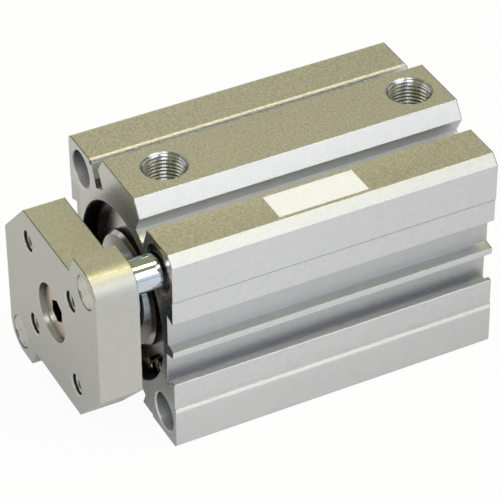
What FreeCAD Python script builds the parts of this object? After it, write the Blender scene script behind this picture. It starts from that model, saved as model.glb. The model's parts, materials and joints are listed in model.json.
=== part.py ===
import FreeCAD, Part
import Sketcher
import math
import os
import re

# Guided pneumatic cylinder: a square extruded body with a through bore, two covers held by
# retaining rings, a piston and its rod, and a tool plate that two guide rods keep from turning.
# The cylinder axis is the Y axis. The body's front face is at Y = 0 and the body runs towards +Y;
# the tool plate stands in front of it, towards -Y. Z points up, out of the port boss.
# Rest pose: rod retracted, so everything that moves travels towards -Y.

# Driving dimensions in millimetres: name, value.
DIMENSIONS = [
    # extruded body section
    ("body_wall", 6.0),
    ("top_chamfer", 2.15),
    ("top_round", 1.3),
    ("bottom_round", 1.2),
    ("edge_break", 0.25),
    # raised boss that carries the ports, and the undercut slots beside it
    ("boss_rise", 4.2),
    ("boss_half", 7.8),
    ("flare_half", 10.35),
    ("flare_rise", 0.3),
    ("neck_half", 8.2),
    ("neck_depth", 3.8),
    ("slot_root_half", 11.75),
    ("slot_root_depth", 5.6),
    ("slot_mouth_half", 14.0),
    ("slot_edge_round", 0.65),
    # shallow relief under the body and the undercut slots in it
    ("foot_start", 14.0),
    ("foot_height", 0.6),
    ("under_slot_middle", 6.9),
    ("under_mouth_half", 2.2),
    ("under_wide_half", 3.5),
    ("under_floor_half", 2.3),
    ("under_wide_depth", 3.5),
    ("under_floor_depth", 4.3),
    # sensor slots and the shallow relief on the sides
    ("lip_height", 8.3),
    ("lip_undercut", 1.0),
    ("upper_slot_depth", 3.0),
    ("lower_slot_depth", 3.7),
    ("rib_top", 0.6),
    ("rib_bottom", -0.9),
    ("rib_depth", 0.5),
    ("rib_flare", 0.9),
    ("lower_slot_end", -9.9),
    ("lower_slot_mouth", -8.3),
    ("lower_slot_foot", 0.6),
    ("lower_slot_lip", 1.5),
    ("relief_top", 14.6),
    ("relief_bottom", -15.0),
    ("relief_depth", 0.3),
    # bore, cover seats and retaining rings
    ("stroke", 40.0),
    ("bore_radius", 20.0),
    ("seat_step", 0.5),
    ("mouth_chamfer", 0.35),
    ("ring_inset", 2.7),
    ("ring_thickness", 1.6),
    ("ring_groove_depth", 0.8),
    ("ring_width", 2.0),
    ("ring_spring_gap", 0.1),
    ("ring_gap_angle", -58.0),
    ("ring_gap_half_angle", 5.0),
    ("lug_radius", 1.75),
    ("lug_inset", 2.2),
    ("lug_half_angle", 6.0),
    ("lug_hole_radius", 0.6),
    # rod cover
    ("cover_clearance", 0.05),
    ("rod_cover_length", 10.0),
    ("rod_flange_length", 5.1),
    ("nose_clearance", 2.5),
    ("hub_inset", 1.0),
    ("hub_radius", 13.5),
    ("hub_edge", 0.8),
    ("hub_mouth", 1.0),
    ("hub_wall", 0.9),
    ("packing_radius", 11.2),
    ("packing_length", 4.6),
    ("packing_lip", 0.8),
    ("packing_sunk", 0.15),
    ("bush_wall", 1.0),
    ("bush_end_gap", 0.5),
    # rear cover
    ("rear_cover_length", 7.3),
    ("rear_flange_length", 4.3),
    ("rear_dish_radius", 15.0),
    ("rear_dish_depth", 1.0),
    # sealing rings squeezed between the covers and the body
    ("gasket_section", 1.8),
    ("gasket_length", 2.0),
    ("gasket_corner", 0.5),
    ("gasket_groove_width", 2.3),
    ("gasket_rear_wall", 0.9),
    # end bumpers
    ("bumper_inner", 10.5),
    ("bumper_outer", 15.0),
    ("bumper_sunk", 1.5),
    ("bumper_proud", 0.5),
    ("stop_gap", 0.3),
    # piston and what it carries
    ("piston_length", 12.0),
    ("piston_clearance", 0.4),
    ("running_clearance", 0.05),
    ("front_land", 1.2),
    ("wear_ring_width", 2.2),
    ("wear_ring_depth", 1.6),
    ("mid_land", 0.8),
    ("magnet_width", 2.8),
    ("magnet_depth", 2.6),
    ("magnet_cover", 0.3),
    ("seal_width", 3.2),
    ("seal_depth", 3.2),
    ("seal_edge", 0.5),
    # piston rod
    ("rod_radius", 8.0),
    ("rod_end_chamfer", 0.5),
    ("spigot_radius", 6.0),
    ("spigot_ring_width", 1.4),
    ("spigot_ring_length", 1.0),
    # tool plate
    ("plate_gap", 7.0),
    ("plate_thickness", 10.0),
    ("plate_margin", 1.5),
    ("plate_half_height", 19.25),
    ("plate_corner_run", 11.3),
    ("plate_corner_drop", 11.75),
    ("ear_width", 11.1),
    ("ear_slope", 2.6),
    ("ear_margin", 1.7),
    ("ear_round", 6.0),
    ("load_hole_radius", 2.5),
    ("load_hole_chamfer", 0.25),
    ("load_hole_offset", 11.7),
    ("short_hole_offset", 10.65),
    # screw through the plate into the piston rod
    ("screw_radius", 4.0),
    ("screw_hole_clearance", 0.5),
    ("screw_head_radius", 6.5),
    ("screw_head_height", 5.0),
    ("screw_head_edge", 0.4),
    ("screw_head_clearance", 0.5),
    ("screw_head_sunk", 1.3),
    ("screw_length", 20.0),
    ("screw_tap_spare", 3.0),
    ("screw_hexagon", 5.0),
    ("screw_hexagon_depth", 2.8),
    # guide rods, their bushes and wipers
    ("guide_web", 0.52),
    ("guide_radius", 4.0),
    ("guide_end_chamfer", 0.4),
    ("guide_sunk", 1.6),
    ("guide_rear_margin", 4.5),
    ("guide_bush_wall", 1.0),
    ("guide_bush_length", 10.0),
    ("guide_bush_pitch", 22.0),
    ("wiper_shoulder", 0.75),
    ("wiper_depth", 2.0),
    ("wiper_inset", 0.5),
    ("wiper_lip", 0.5),
    # mounting holes in the other two corners
    ("mount_inset", 6.0),
    ("mount_hole_radius", 2.75),
    ("mount_head_radius", 4.5),
    ("mount_head_depth", 7.0),
    ("mount_chamfer", 0.3),
    # ports
    ("port_front", 11.1),
    ("port_rear", 7.7),
    ("port_radius", 4.86),
    ("port_depth", 8.2),
    ("port_chamfer", 0.35),
    ("passage_radius", 1.5),
    ("passage_shift", 2.6),
    # blank label on top of the right-hand corner block
    ("label_start", 27.1),
    ("label_length", 21.7),
    ("label_margin", 3.05),
    ("label_width", 7.75),
    ("label_thickness", 0.12),
    # how far a cutting outline reaches past the metal it cuts
    ("overcut", 1.0),
]

# Places worked out from the driving dimensions, all along Y unless the name says otherwise.
PLACES = {
    "half_width": "bore_radius + body_wall",
    "boss_top": "half_width + boss_rise",
    "flare_height": "half_width + flare_rise",
    "neck_height": "half_width - neck_depth",
    "slot_root_height": "half_width - slot_root_depth",
    "upper_floor": "half_width - upper_slot_depth",
    "lower_floor": "half_width - lower_slot_depth",
    "rib_reach": "half_width - rib_depth",
    "seat_radius": "bore_radius + seat_step",
    "groove_radius": "seat_radius + ring_groove_depth",
    "inside_bore": "bore_radius - overcut",
    "lug_circle": "seat_radius - lug_inset",
    "nose_radius": "bore_radius - nose_clearance",
    "cover_radius": "seat_radius - cover_clearance",
    "gasket_floor": "seat_radius - gasket_section",
    "cover_front": "ring_inset + ring_thickness",
    "seat_end": "cover_front + rod_flange_length",
    "rod_cover_end": "cover_front + rod_cover_length",
    "end_play": "bumper_proud + stop_gap",
    "piston_front": "rod_cover_end + end_play + stroke",
    "piston_rear": "piston_front + piston_length",
    "rear_cover_start": "piston_rear + end_play",
    "rear_cover_end": "rear_cover_start + rear_cover_length",
    "rear_seat_start": "rear_cover_end - rear_flange_length",
    "body_length": "rear_cover_end + ring_thickness + ring_inset",
    "plate_back": "-plate_gap",
    "plate_front": "-plate_gap - plate_thickness",
    "screw_seat": "plate_front + screw_head_sunk + screw_head_height",
    "plate_half_width": "half_width - plate_margin",
    "ear_root": "plate_half_width - ear_width",
    "ear_foot": "ear_root - ear_slope",
    "ear_top": "half_width - ear_margin",
    "guide_hole_radius": "guide_radius + running_clearance + guide_bush_wall",
    "guide_offset": "(groove_radius + guide_web + guide_hole_radius) / sqrt(2)",
    "wiper_radius": "guide_hole_radius + wiper_shoulder",
    "mount_offset": "half_width - mount_inset",
    "label_left": "half_width - label_margin - label_width",
    "front_bush_start": "wiper_depth",
    "rear_bush_start": "front_bush_start + guide_bush_pitch",
    "piston_radius": "bore_radius - piston_clearance",
    "sliding_radius": "bore_radius - running_clearance",
    "wear_start": "piston_front + front_land",
    "magnet_start": "wear_start + wear_ring_width + mid_land",
    "seal_start": "magnet_start + magnet_width + mid_land",
    "rod_bush_radius": "rod_radius + running_clearance + bush_wall",
    "packing_start": "hub_inset + hub_wall",
    "packing_end": "hub_inset + packing_length",
    "foot_gap": "foot_height - half_width",
}

# Two points nearer than this are the same point.
SAME_PLACE = 1e-3
HEXAGON_SIDES = 6

doc = FreeCAD.newDocument("GuidedCylinder")
sheet = doc.addObject("Spreadsheet::Sheet", "Sizes")
for row, (name, value) in enumerate(DIMENSIONS, start=1):
    sheet.set(f"A{row}", name)
    sheet.set(f"B{row}", str(value))
    sheet.setAlias(f"B{row}", name)
doc.recompute()
SIZE_NAMES = {name for name, _ in DIMENSIONS}


def sized(text):
    """Write an expression of plain names as one that reads the spreadsheet."""
    def expand(match):
        word = match.group()
        if word in PLACES:
            return "(" + sized(PLACES[word]) + ")"
        return "Sizes." + word if word in SIZE_NAMES else word
    return re.sub(r"[a-z][a-z_]*", expand, str(text))


def number(text):
    """The present value of an expression."""
    value = sheet.evalExpression(sized(text))
    return float(getattr(value, "Value", value))


def bind(thing, prop, text):
    thing.setExpression(prop, sized(text))


# ---------------------------------------------------------------- modelling helpers

def new_body(label):
    body = doc.addObject("PartDesign::Body", label)
    body.Label = label
    return body


def new_sketch(body, name, role, offset=None):
    """A sketch on one of the body's own origin planes, moved along that plane's normal."""
    sketch = body.newObject("Sketcher::SketchObject", name)
    planes = {feature.Role: feature for feature in body.Origin.OriginFeatures}
    sketch.AttachmentSupport = [(planes[role], "")]
    sketch.MapMode = "FlatFace"
    if offset is not None:
        bind(sketch, "AttachmentOffset.Base.z", offset)
    return sketch


def pin_point(sketch, geometry, end, across, along):
    """Hold one point of the sketch at a place given by two expressions."""
    for kind, text in (("DistanceX", across), ("DistanceY", along)):
        index = sketch.addConstraint(Sketcher.Constraint(kind, -1, 1, geometry, end, number(text)))
        bind(sketch, f"Constraints[{index}]", text)


def add_outline(sketch, corners):
    """A closed outline of straight lines through corners given as expression pairs."""
    points = [FreeCAD.Vector(number(across), number(along), 0) for across, along in corners]
    first = sketch.GeometryCount
    count = len(points)
    for i in range(count):
        sketch.addGeometry(Part.LineSegment(points[i], points[(i + 1) % count]))
    for i in range(count):
        following = first + (i + 1) % count
        sketch.addConstraint(Sketcher.Constraint("Coincident", first + i, 2, following, 1))
    for i, (across, along) in enumerate(corners):
        pin_point(sketch, first + i, 1, across, along)


def add_circle(sketch, across, along, radius):
    centre = FreeCAD.Vector(number(across), number(along), 0)
    index = sketch.addGeometry(Part.Circle(centre, FreeCAD.Vector(0, 0, 1), number(radius)))
    pin_point(sketch, index, 3, across, along)
    limit = sketch.addConstraint(Sketcher.Constraint("Radius", index, number(radius)))
    bind(sketch, f"Constraints[{limit}]", radius)


def feature(body, kind, name, sketch, **settings):
    """A sketch-based feature; text settings are expressions, the rest are plain values."""
    item = body.newObject(f"PartDesign::{kind}", name)
    item.Profile = sketch
    for prop, value in settings.items():
        if prop in ("Length", "Angle") and isinstance(value, str):
            bind(item, prop, value)
        else:
            setattr(item, prop, value)
    sketch.Visibility = False
    return item


def outline_feature(body, kind, name, corners, offset=None, role="XZ_Plane", **settings):
    sketch = new_sketch(body, name + "_sketch", role, offset)
    add_outline(sketch, corners)
    return feature(body, kind, name, sketch, **settings)


def circle_feature(body, kind, name, circles, offset=None, role="XZ_Plane", **settings):
    sketch = new_sketch(body, name + "_sketch", role, offset)
    for across, along, radius in circles:
        add_circle(sketch, across, along, radius)
    return feature(body, kind, name, sketch, **settings)


def turned(body, kind, name, corners):
    """Turn an outline of (radius, Y) corners about the body's own Y axis."""
    item = outline_feature(body, kind, name, corners, role="XY_Plane")
    item.ReferenceAxis = (item.Profile[0], ["V_Axis"])
    item.Angle = 360
    return item


def mirrored(body, name, originals):
    """The same features on the other side of the YZ plane."""
    item = body.newObject("PartDesign::Mirrored", name)
    item.Originals = originals
    planes = {feature.Role: feature for feature in body.Origin.OriginFeatures}
    item.MirrorPlane = (planes["YZ_Plane"], [""])
    body.Tip = item
    return item


def long_edges(shape, places):
    """Names of the edges along Y that run through the given (X, Z) places."""
    names = []
    targets = [(number(across), number(up)) for across, up in places]
    for index, edge in enumerate(shape.Edges, start=1):
        start, end = edge.Vertexes[0].Point, edge.Vertexes[-1].Point
        if math.hypot(end.x - start.x, end.z - start.z) > SAME_PLACE or start.isEqual(end, SAME_PLACE):
            continue
        if any(math.hypot(start.x - x, start.z - z) < SAME_PLACE for x, z in targets):
            names.append(f"Edge{index}")
    return names


def round_edges_at(shape, radius, height, axis):
    """Names of the full circles of one radius that lie at one height along an axis."""
    names = []
    for index, edge in enumerate(shape.Edges, start=1):
        curve = edge.Curve
        if not isinstance(curve, Part.Circle) or abs(curve.Radius - number(radius)) > SAME_PLACE:
            continue
        if abs(getattr(curve.Center, axis) - number(height)) < SAME_PLACE:
            names.append(f"Edge{index}")
    return names


def dress(body, kind, name, base, edges, prop, size):
    """A fillet or chamfer on edges of the feature before it."""
    item = body.newObject(f"PartDesign::{kind}", name)
    item.Base = (base, edges)
    bind(item, prop, size)
    return item


def mirror_pairs(places):
    return places + [("-(" + across + ")", up) for across, up in places]


# ---------------------------------------------------------------- extruded body

def make_body():
    body = new_body("body")
    block = outline_feature(body, "Pad", "block", [
        ("-half_width", "-half_width"), ("half_width", "-half_width"),
        ("half_width", "half_width"), ("-half_width", "half_width")],
        Length="body_length", Reversed=True)
    doc.recompute()
    corners = dress(body, "Fillet", "bottom_corners", block,
                    long_edges(block.Shape, mirror_pairs([("half_width", "-half_width")])),
                    "Radius", "bottom_round")
    doc.recompute()
    corners = dress(body, "Fillet", "left_corner", corners,
                    long_edges(corners.Shape, [("-half_width", "half_width")]),
                    "Radius", "top_round")
    doc.recompute()
    dress(body, "Chamfer", "right_corner", corners,
          long_edges(corners.Shape, [("half_width", "half_width")]), "Size", "top_chamfer")

    # The top is cut down between the corner blocks, and the flared boss rises from there.
    outline_feature(body, "Pocket", "top_channel", [
        ("-slot_mouth_half", "half_width"), ("-slot_root_half", "slot_root_height"),
        ("slot_root_half", "slot_root_height"), ("slot_mouth_half", "half_width")],
        Type="ThroughAll")
    outline_feature(body, "Pad", "port_boss", [
        ("-slot_root_half", "slot_root_height"), ("slot_root_half", "slot_root_height"),
        ("neck_half", "neck_height"), ("flare_half", "flare_height"),
        ("boss_half", "boss_top"), ("-boss_half", "boss_top"),
        ("-flare_half", "flare_height"), ("-neck_half", "neck_height")],
        Length="body_length", Reversed=True)

    # The body stands on two feet, with an undercut slot beside each of them. Each side has two
    # stacked slots with a rib between.
    outline_feature(body, "Pocket", "foot_relief", [
        ("-foot_start", "-half_width - overcut"), ("foot_start", "-half_width - overcut"),
        ("foot_start", "foot_gap"), ("-foot_start", "foot_gap")], Type="ThroughAll")
    under_slot = outline_feature(body, "Pocket", "under_slot", [
        ("under_slot_middle - under_mouth_half", "-half_width"),
        ("under_slot_middle + under_mouth_half", "-half_width"),
        ("under_slot_middle + under_mouth_half", "foot_gap"),
        ("under_slot_middle + under_wide_half", "under_wide_depth - half_width"),
        ("under_slot_middle + under_floor_half", "under_floor_depth - half_width"),
        ("under_slot_middle - under_floor_half", "under_floor_depth - half_width"),
        ("under_slot_middle - under_wide_half", "under_wide_depth - half_width"),
        ("under_slot_middle - under_mouth_half", "foot_gap")], Type="ThroughAll")
    relief = outline_feature(body, "Pocket", "side_relief", [
        ("half_width - relief_depth", "relief_bottom"), ("half_width + overcut", "relief_bottom"),
        ("half_width + overcut", "relief_top"), ("half_width - relief_depth", "relief_top")],
        Type="ThroughAll")
    side_slot = outline_feature(body, "Pocket", "side_slot", [
        ("half_width + overcut", "lip_height"), ("half_width - relief_depth", "lip_height"),
        ("upper_floor", "lip_height + lip_undercut"), ("upper_floor", "rib_top + rib_flare / 2"),
        ("rib_reach", "rib_top"), ("rib_reach", "rib_bottom"),
        ("lower_floor", "rib_bottom - rib_flare"), ("lower_floor", "lower_slot_end"),
        ("lower_floor + lower_slot_foot", "lower_slot_end"),
        ("half_width - lower_slot_lip", "lower_slot_mouth"),
        ("half_width + overcut", "lower_slot_mouth")],
        Type="ThroughAll")
    slots = mirrored(body, "left_slots", [under_slot, relief, side_slot])
    doc.recompute()

    rounded = dress(body, "Fillet", "slot_edge", slots,
                    long_edges(slots.Shape, [("-slot_mouth_half", "half_width")]),
                    "Radius", "slot_edge_round")
    doc.recompute()
    sharp = mirror_pairs([
        ("boss_half", "boss_top"), ("flare_half", "flare_height"),
        ("half_width - relief_depth", "lip_height"),
        ("half_width - relief_depth", "lower_slot_mouth")])
    sharp += [("slot_mouth_half", "half_width"), ("half_width - top_chamfer", "half_width"),
              ("half_width", "half_width - top_chamfer")]
    dress(body, "Fillet", "broken_edges", rounded, long_edges(rounded.Shape, sharp),
          "Radius", "edge_break")

    # Bore, with a wider seat and a retaining-ring groove at each end.
    circle_feature(body, "Pocket", "bore", [("0", "0", "bore_radius")], Type="ThroughAll")
    turned(body, "Groove", "front_seat", [
        ("inside_bore", "0"), ("seat_radius + mouth_chamfer", "0"),
        ("seat_radius", "mouth_chamfer"),
        ("seat_radius", "ring_inset"), ("groove_radius", "ring_inset"),
        ("groove_radius", "cover_front"), ("seat_radius", "cover_front"),
        ("seat_radius", "seat_end"), ("inside_bore", "seat_end")])
    turned(body, "Groove", "rear_seat", [
        ("inside_bore", "rear_seat_start"), ("seat_radius", "rear_seat_start"),
        ("seat_radius", "rear_cover_end"), ("groove_radius", "rear_cover_end"),
        ("groove_radius", "rear_cover_end + ring_thickness"),
        ("seat_radius", "rear_cover_end + ring_thickness"),
        ("seat_radius", "body_length - mouth_chamfer"),
        ("seat_radius + mouth_chamfer", "body_length"), ("inside_bore", "body_length")])

    # Guide holes in two corners, bolt holes in the other two.
    guides = [("guide_offset", "guide_offset"), ("-guide_offset", "-guide_offset")]
    bolts = [("-mount_offset", "mount_offset"), ("mount_offset", "-mount_offset")]
    circle_feature(body, "Pocket", "guide_holes",
                   [place + ("guide_hole_radius",) for place in guides], Type="ThroughAll")
    circle_feature(body, "Pocket", "wiper_seats",
                   [place + ("wiper_radius",) for place in guides], Length="wiper_depth")
    circle_feature(body, "Pocket", "bolt_holes",
                   [place + ("mount_hole_radius",) for place in bolts], Type="ThroughAll")
    heads = [place + ("mount_head_radius",) for place in bolts]
    circle_feature(body, "Pocket", "front_bolt_heads", heads, Length="mount_head_depth")
    circle_feature(body, "Pocket", "rear_bolt_heads", heads, offset="-body_length",
                   Length="mount_head_depth", Reversed=True)

    # Ports in the boss; each passage is set towards the middle, past its cover's flange.
    ports = [("0", "port_front"), ("0", "body_length - port_rear")]
    circle_feature(body, "Pocket", "ports", [place + ("port_radius",) for place in ports],
                   offset="boss_top", role="XY_Plane", Length="port_depth")
    passages = [("0", "port_front + passage_shift"), ("0", "body_length - port_rear - passage_shift")]
    passage = circle_feature(body, "Pocket", "passages",
                             [place + ("passage_radius",) for place in passages],
                             offset="boss_top", role="XY_Plane", Length="boss_top - inside_bore")
    doc.recompute()
    mouths = dress(body, "Chamfer", "port_mouths", passage,
                   round_edges_at(passage.Shape, "port_radius", "boss_top", "z"),
                   "Size", "port_chamfer")
    doc.recompute()
    ends = [edge for height in ("0", "body_length")
            for edge in round_edges_at(mouths.Shape, "mount_head_radius", height, "y")]
    dress(body, "Chamfer", "mount_mouths", mouths, ends, "Size", "mount_chamfer")
    return body


# ---------------------------------------------------------------- covers, rings and seals

def make_rod_cover():
    body = new_body("rod_cover")
    groove_rear = "seat_end - gasket_rear_wall"
    groove_front = groove_rear + " - gasket_groove_width"
    bumper_floor = "rod_cover_end - bumper_sunk"
    mouth = "rod_radius + hub_mouth"
    turned(body, "Revolution", "cover", [
        (mouth, "hub_inset"), ("hub_radius - hub_edge", "hub_inset"),
        ("hub_radius", "hub_inset + hub_edge"), ("hub_radius", "cover_front"),
        ("cover_radius", "cover_front"),
        ("cover_radius", groove_front), ("gasket_floor", groove_front),
        ("gasket_floor", groove_rear), ("cover_radius", groove_rear),
        ("cover_radius", "seat_end"), ("nose_radius", "seat_end"),
        ("nose_radius", "rod_cover_end"), ("bumper_outer", "rod_cover_end"),
        ("bumper_outer", bumper_floor), ("bumper_inner", bumper_floor),
        ("bumper_inner", "rod_cover_end"), ("rod_bush_radius", "rod_cover_end"),
        ("rod_bush_radius", "packing_end"), ("packing_radius", "packing_end"),
        ("packing_radius", "packing_start"), (mouth, "packing_start")])
    return body


def make_rear_cover():
    body = new_body("rear_cover")
    groove_front = "rear_seat_start + gasket_rear_wall"
    groove_rear = groove_front + " + gasket_groove_width"
    bumper_floor = "rear_cover_start + bumper_sunk"
    dish = "rear_cover_end - rear_dish_depth"
    turned(body, "Revolution", "cover", [
        ("0", "rear_cover_start"), ("bumper_inner", "rear_cover_start"),
        ("bumper_inner", bumper_floor), ("bumper_outer", bumper_floor),
        ("bumper_outer", "rear_cover_start"), ("nose_radius", "rear_cover_start"),
        ("nose_radius", "rear_seat_start"), ("cover_radius", "rear_seat_start"),
        ("cover_radius", groove_front), ("gasket_floor", groove_front),
        ("gasket_floor", groove_rear), ("cover_radius", groove_rear),
        ("cover_radius", "rear_cover_end"), ("rear_dish_radius", "rear_cover_end"),
        ("rear_dish_radius", dish), ("0", dish)])
    return body


def make_gasket(label, centre):
    """Sealing ring, drawn as squeezed flat between a cover's groove and the body's seat."""
    body = new_body(label)
    start, end = centre + " - gasket_length / 2", centre + " + gasket_length / 2"
    turned(body, "Revolution", "ring", [
        ("gasket_floor", start + " + gasket_corner"), ("gasket_floor + gasket_corner", start),
        ("seat_radius - gasket_corner", start), ("seat_radius", start + " + gasket_corner"),
        ("seat_radius", end + " - gasket_corner"), ("seat_radius - gasket_corner", end),
        ("gasket_floor + gasket_corner", end), ("gasket_floor", end + " - gasket_corner")])
    return body


def make_retaining_ring(label, start):
    """Spring ring open at one side, with a drilled lug at each end for the pliers."""
    body = new_body(label)
    offset = "-(" + start + ")"
    outer = "groove_radius - ring_spring_gap"
    circle_feature(body, "Pad", "ring",
                   [("0", "0", outer), ("0", "0", "seat_radius + ring_spring_gap - ring_width")],
                   offset=offset, Length="ring_thickness", Reversed=True)
    reach = "(groove_radius + overcut)"
    sides = ["ring_gap_angle - ring_gap_half_angle", "ring_gap_angle + ring_gap_half_angle"]
    edge = [(f"{reach} * cos(({side}) * 1deg)", f"{reach} * sin(({side}) * 1deg)") for side in sides]
    outline_feature(body, "Pocket", "opening", [("0", "0")] + edge,
                    offset=offset, Length="ring_thickness")
    lug_sides = ["ring_gap_angle - lug_half_angle - ring_gap_half_angle / 2",
                 "ring_gap_angle + lug_half_angle + ring_gap_half_angle / 2"]
    lugs = [(f"lug_circle * cos(({side}) * 1deg)", f"lug_circle * sin(({side}) * 1deg)")
            for side in lug_sides]
    circle_feature(body, "Pad", "lugs", [lug + ("lug_radius",) for lug in lugs],
                   offset=offset, Length="ring_thickness", Reversed=True)
    circle_feature(body, "Pocket", "lug_holes", [lug + ("lug_hole_radius",) for lug in lugs],
                   offset=offset, Type="ThroughAll")
    return body


def make_rod_packing():
    """Seal round the piston rod, in a groove behind the hub's face, with a lip out to the face."""
    body = new_body("rod_packing")
    inner = "rod_radius + running_clearance"
    front = "hub_inset + packing_sunk"
    turned(body, "Revolution", "seal", [
        (inner, front), (inner + " + packing_lip / 2", front),
        (inner + " + packing_lip", "packing_start"), ("packing_radius", "packing_start"),
        ("packing_radius", "packing_end"), (inner, "packing_end")])
    return body


def make_tube(label, inner, outer, start, end):
    body = new_body(label)
    turned(body, "Revolution", "tube", [(inner, start), (outer, start), (outer, end), (inner, end)])
    return body


# ---------------------------------------------------------------- piston and its rod

def make_piston():
    body = new_body("piston")
    wear_floor = "piston_radius - wear_ring_depth"
    magnet_floor = "piston_radius - magnet_depth"
    seal_floor = "piston_radius - seal_depth"
    wear_end = "wear_start + wear_ring_width"
    magnet_end = "magnet_start + magnet_width"
    seal_end = "seal_start + seal_width"
    ring_wall = "spigot_radius + spigot_ring_width"
    ring_end = "piston_front + spigot_ring_length"
    turned(body, "Revolution", "disc", [
        (ring_wall, "piston_front"), ("piston_radius", "piston_front"),
        ("piston_radius", "wear_start"), (wear_floor, "wear_start"),
        (wear_floor, wear_end), ("piston_radius", wear_end),
        ("piston_radius", "magnet_start"), (magnet_floor, "magnet_start"),
        (magnet_floor, magnet_end), ("piston_radius", magnet_end),
        ("piston_radius", "seal_start"), (seal_floor, "seal_start"),
        (seal_floor, seal_end), ("piston_radius", seal_end),
        ("piston_radius", "piston_rear"), ("spigot_radius", "piston_rear"),
        ("spigot_radius", ring_end), (ring_wall, ring_end)])
    return body


def make_piston_seal():
    body = new_body("piston_seal")
    floor = "piston_radius - seal_depth"
    end = "seal_start + seal_width"
    turned(body, "Revolution", "seal", [
        (floor, "seal_start"), ("piston_radius", "seal_start"),
        ("sliding_radius", "seal_start + seal_edge"), ("sliding_radius", end + " - seal_edge"),
        ("piston_radius", end), (floor, end)])
    return body


def make_piston_rod():
    body = new_body("piston_rod")
    tap_end = "screw_seat + screw_length + screw_tap_spare"
    chamfer_end = "plate_back + rod_end_chamfer"
    turned(body, "Revolution", "rod", [
        ("screw_radius", "plate_back"), ("rod_radius - rod_end_chamfer", "plate_back"),
        ("rod_radius", chamfer_end), ("rod_radius", "piston_front"),
        ("spigot_radius", "piston_front"), ("spigot_radius", "piston_rear"),
        ("0", "piston_rear"), ("0", tap_end), ("screw_radius", tap_end)])
    return body


# ---------------------------------------------------------------- tool plate, screw and guides

def make_tool_plate():
    body = new_body("tool_plate")
    half = [
        ("plate_corner_run - plate_half_width", "plate_half_height"),
        ("ear_foot", "plate_half_height"), ("ear_root", "ear_top"),
        ("plate_half_width", "ear_top"),
        ("plate_half_width", "plate_corner_drop - plate_half_height")]
    turned_half = [("-(" + across + ")", "-(" + up + ")") for across, up in half]
    plate = outline_feature(body, "Pad", "plate", half + turned_half, offset="-(plate_front)",
                            Length="plate_thickness", Reversed=True)
    doc.recompute()
    ears = [("plate_half_width", "ear_top"), ("-plate_half_width", "-ear_top")]
    dress(body, "Fillet", "ear_corners", plate, long_edges(plate.Shape, ears),
          "Radius", "ear_round")
    guides = [("guide_offset", "guide_offset"), ("-guide_offset", "-guide_offset")]
    loads = [("-load_hole_offset", "load_hole_offset"), ("load_hole_offset", "-load_hole_offset"),
             ("short_hole_offset", "short_hole_offset"), ("-short_hole_offset", "-short_hole_offset")]
    circle_feature(body, "Pocket", "guide_holes", [place + ("guide_radius",) for place in guides],
                   offset="-(plate_front)", Type="ThroughAll")
    circle_feature(body, "Pocket", "screw_hole",
                   [("0", "0", "screw_radius + screw_hole_clearance")],
                   offset="-(plate_front)", Type="ThroughAll")
    circle_feature(body, "Pocket", "screw_head_seat",
                   [("0", "0", "screw_head_radius + screw_head_clearance")],
                   offset="-(plate_front)", Length="screw_head_sunk + screw_head_height")
    holes = circle_feature(body, "Pocket", "load_holes",
                           [place + ("load_hole_radius",) for place in loads],
                           offset="-(plate_front)", Type="ThroughAll")
    doc.recompute()
    dress(body, "Chamfer", "load_hole_mouths", holes,
          round_edges_at(holes.Shape, "load_hole_radius", "plate_front", "y"),
          "Size", "load_hole_chamfer")
    return body


def make_centre_screw():
    """Low-head hexagon-socket screw that clamps the plate to the piston rod."""
    body = new_body("centre_screw")
    top = "screw_seat - screw_head_height"
    tip = "screw_seat + screw_length"
    turned(body, "Revolution", "screw", [
        ("0", top), ("screw_head_radius - screw_head_edge", top),
        ("screw_head_radius", top + " + screw_head_edge"), ("screw_head_radius", "screw_seat"),
        ("screw_radius", "screw_seat"), ("screw_radius", tip), ("0", tip)])
    corner = "screw_hexagon / sqrt(3)"
    turns = [360 * i // HEXAGON_SIDES for i in range(HEXAGON_SIDES)]
    hexagon = [(f"{corner} * sin({turn} * 1deg)", f"{corner} * cos({turn} * 1deg)")
               for turn in turns]
    outline_feature(body, "Pocket", "socket", hexagon, offset="-(" + top + ")",
                    Length="screw_hexagon_depth")
    return body


def place_in_corner(body, sign):
    """Move a guide piece, modelled on the cylinder axis, out to its own corner."""
    for axis in ("x", "z"):
        bind(body, f"Placement.Base.{axis}", f"{sign} * guide_offset")


def make_guide_rod(label):
    body = new_body(label)
    start = "plate_front + guide_sunk"
    end = "body_length - guide_rear_margin"
    inset = "guide_radius - guide_end_chamfer"
    turned(body, "Revolution", "rod", [
        ("0", start), (inset, start), ("guide_radius", start + " + guide_end_chamfer"),
        ("guide_radius", end + " - guide_end_chamfer"), (inset, end), ("0", end)])
    return body


def make_guide_wiper(label):
    body = new_body(label)
    inner = "guide_radius + running_clearance"
    turned(body, "Revolution", "wiper", [
        (inner, "wiper_inset"), (inner + " + wiper_lip", "wiper_inset"),
        (inner + " + wiper_lip", "wiper_inset + wiper_lip"),
        ("wiper_radius", "wiper_inset + wiper_lip"), ("wiper_radius", "wiper_depth"),
        (inner, "wiper_depth")])
    return body


def make_label():
    body = new_body("label")
    outline_feature(body, "Pad", "film", [
        ("label_left", "label_start"), ("label_left + label_width", "label_start"),
        ("label_left + label_width", "label_start + label_length"),
        ("label_left", "label_start + label_length")],
        offset="half_width", role="XY_Plane", Length="label_thickness")
    return body


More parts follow.
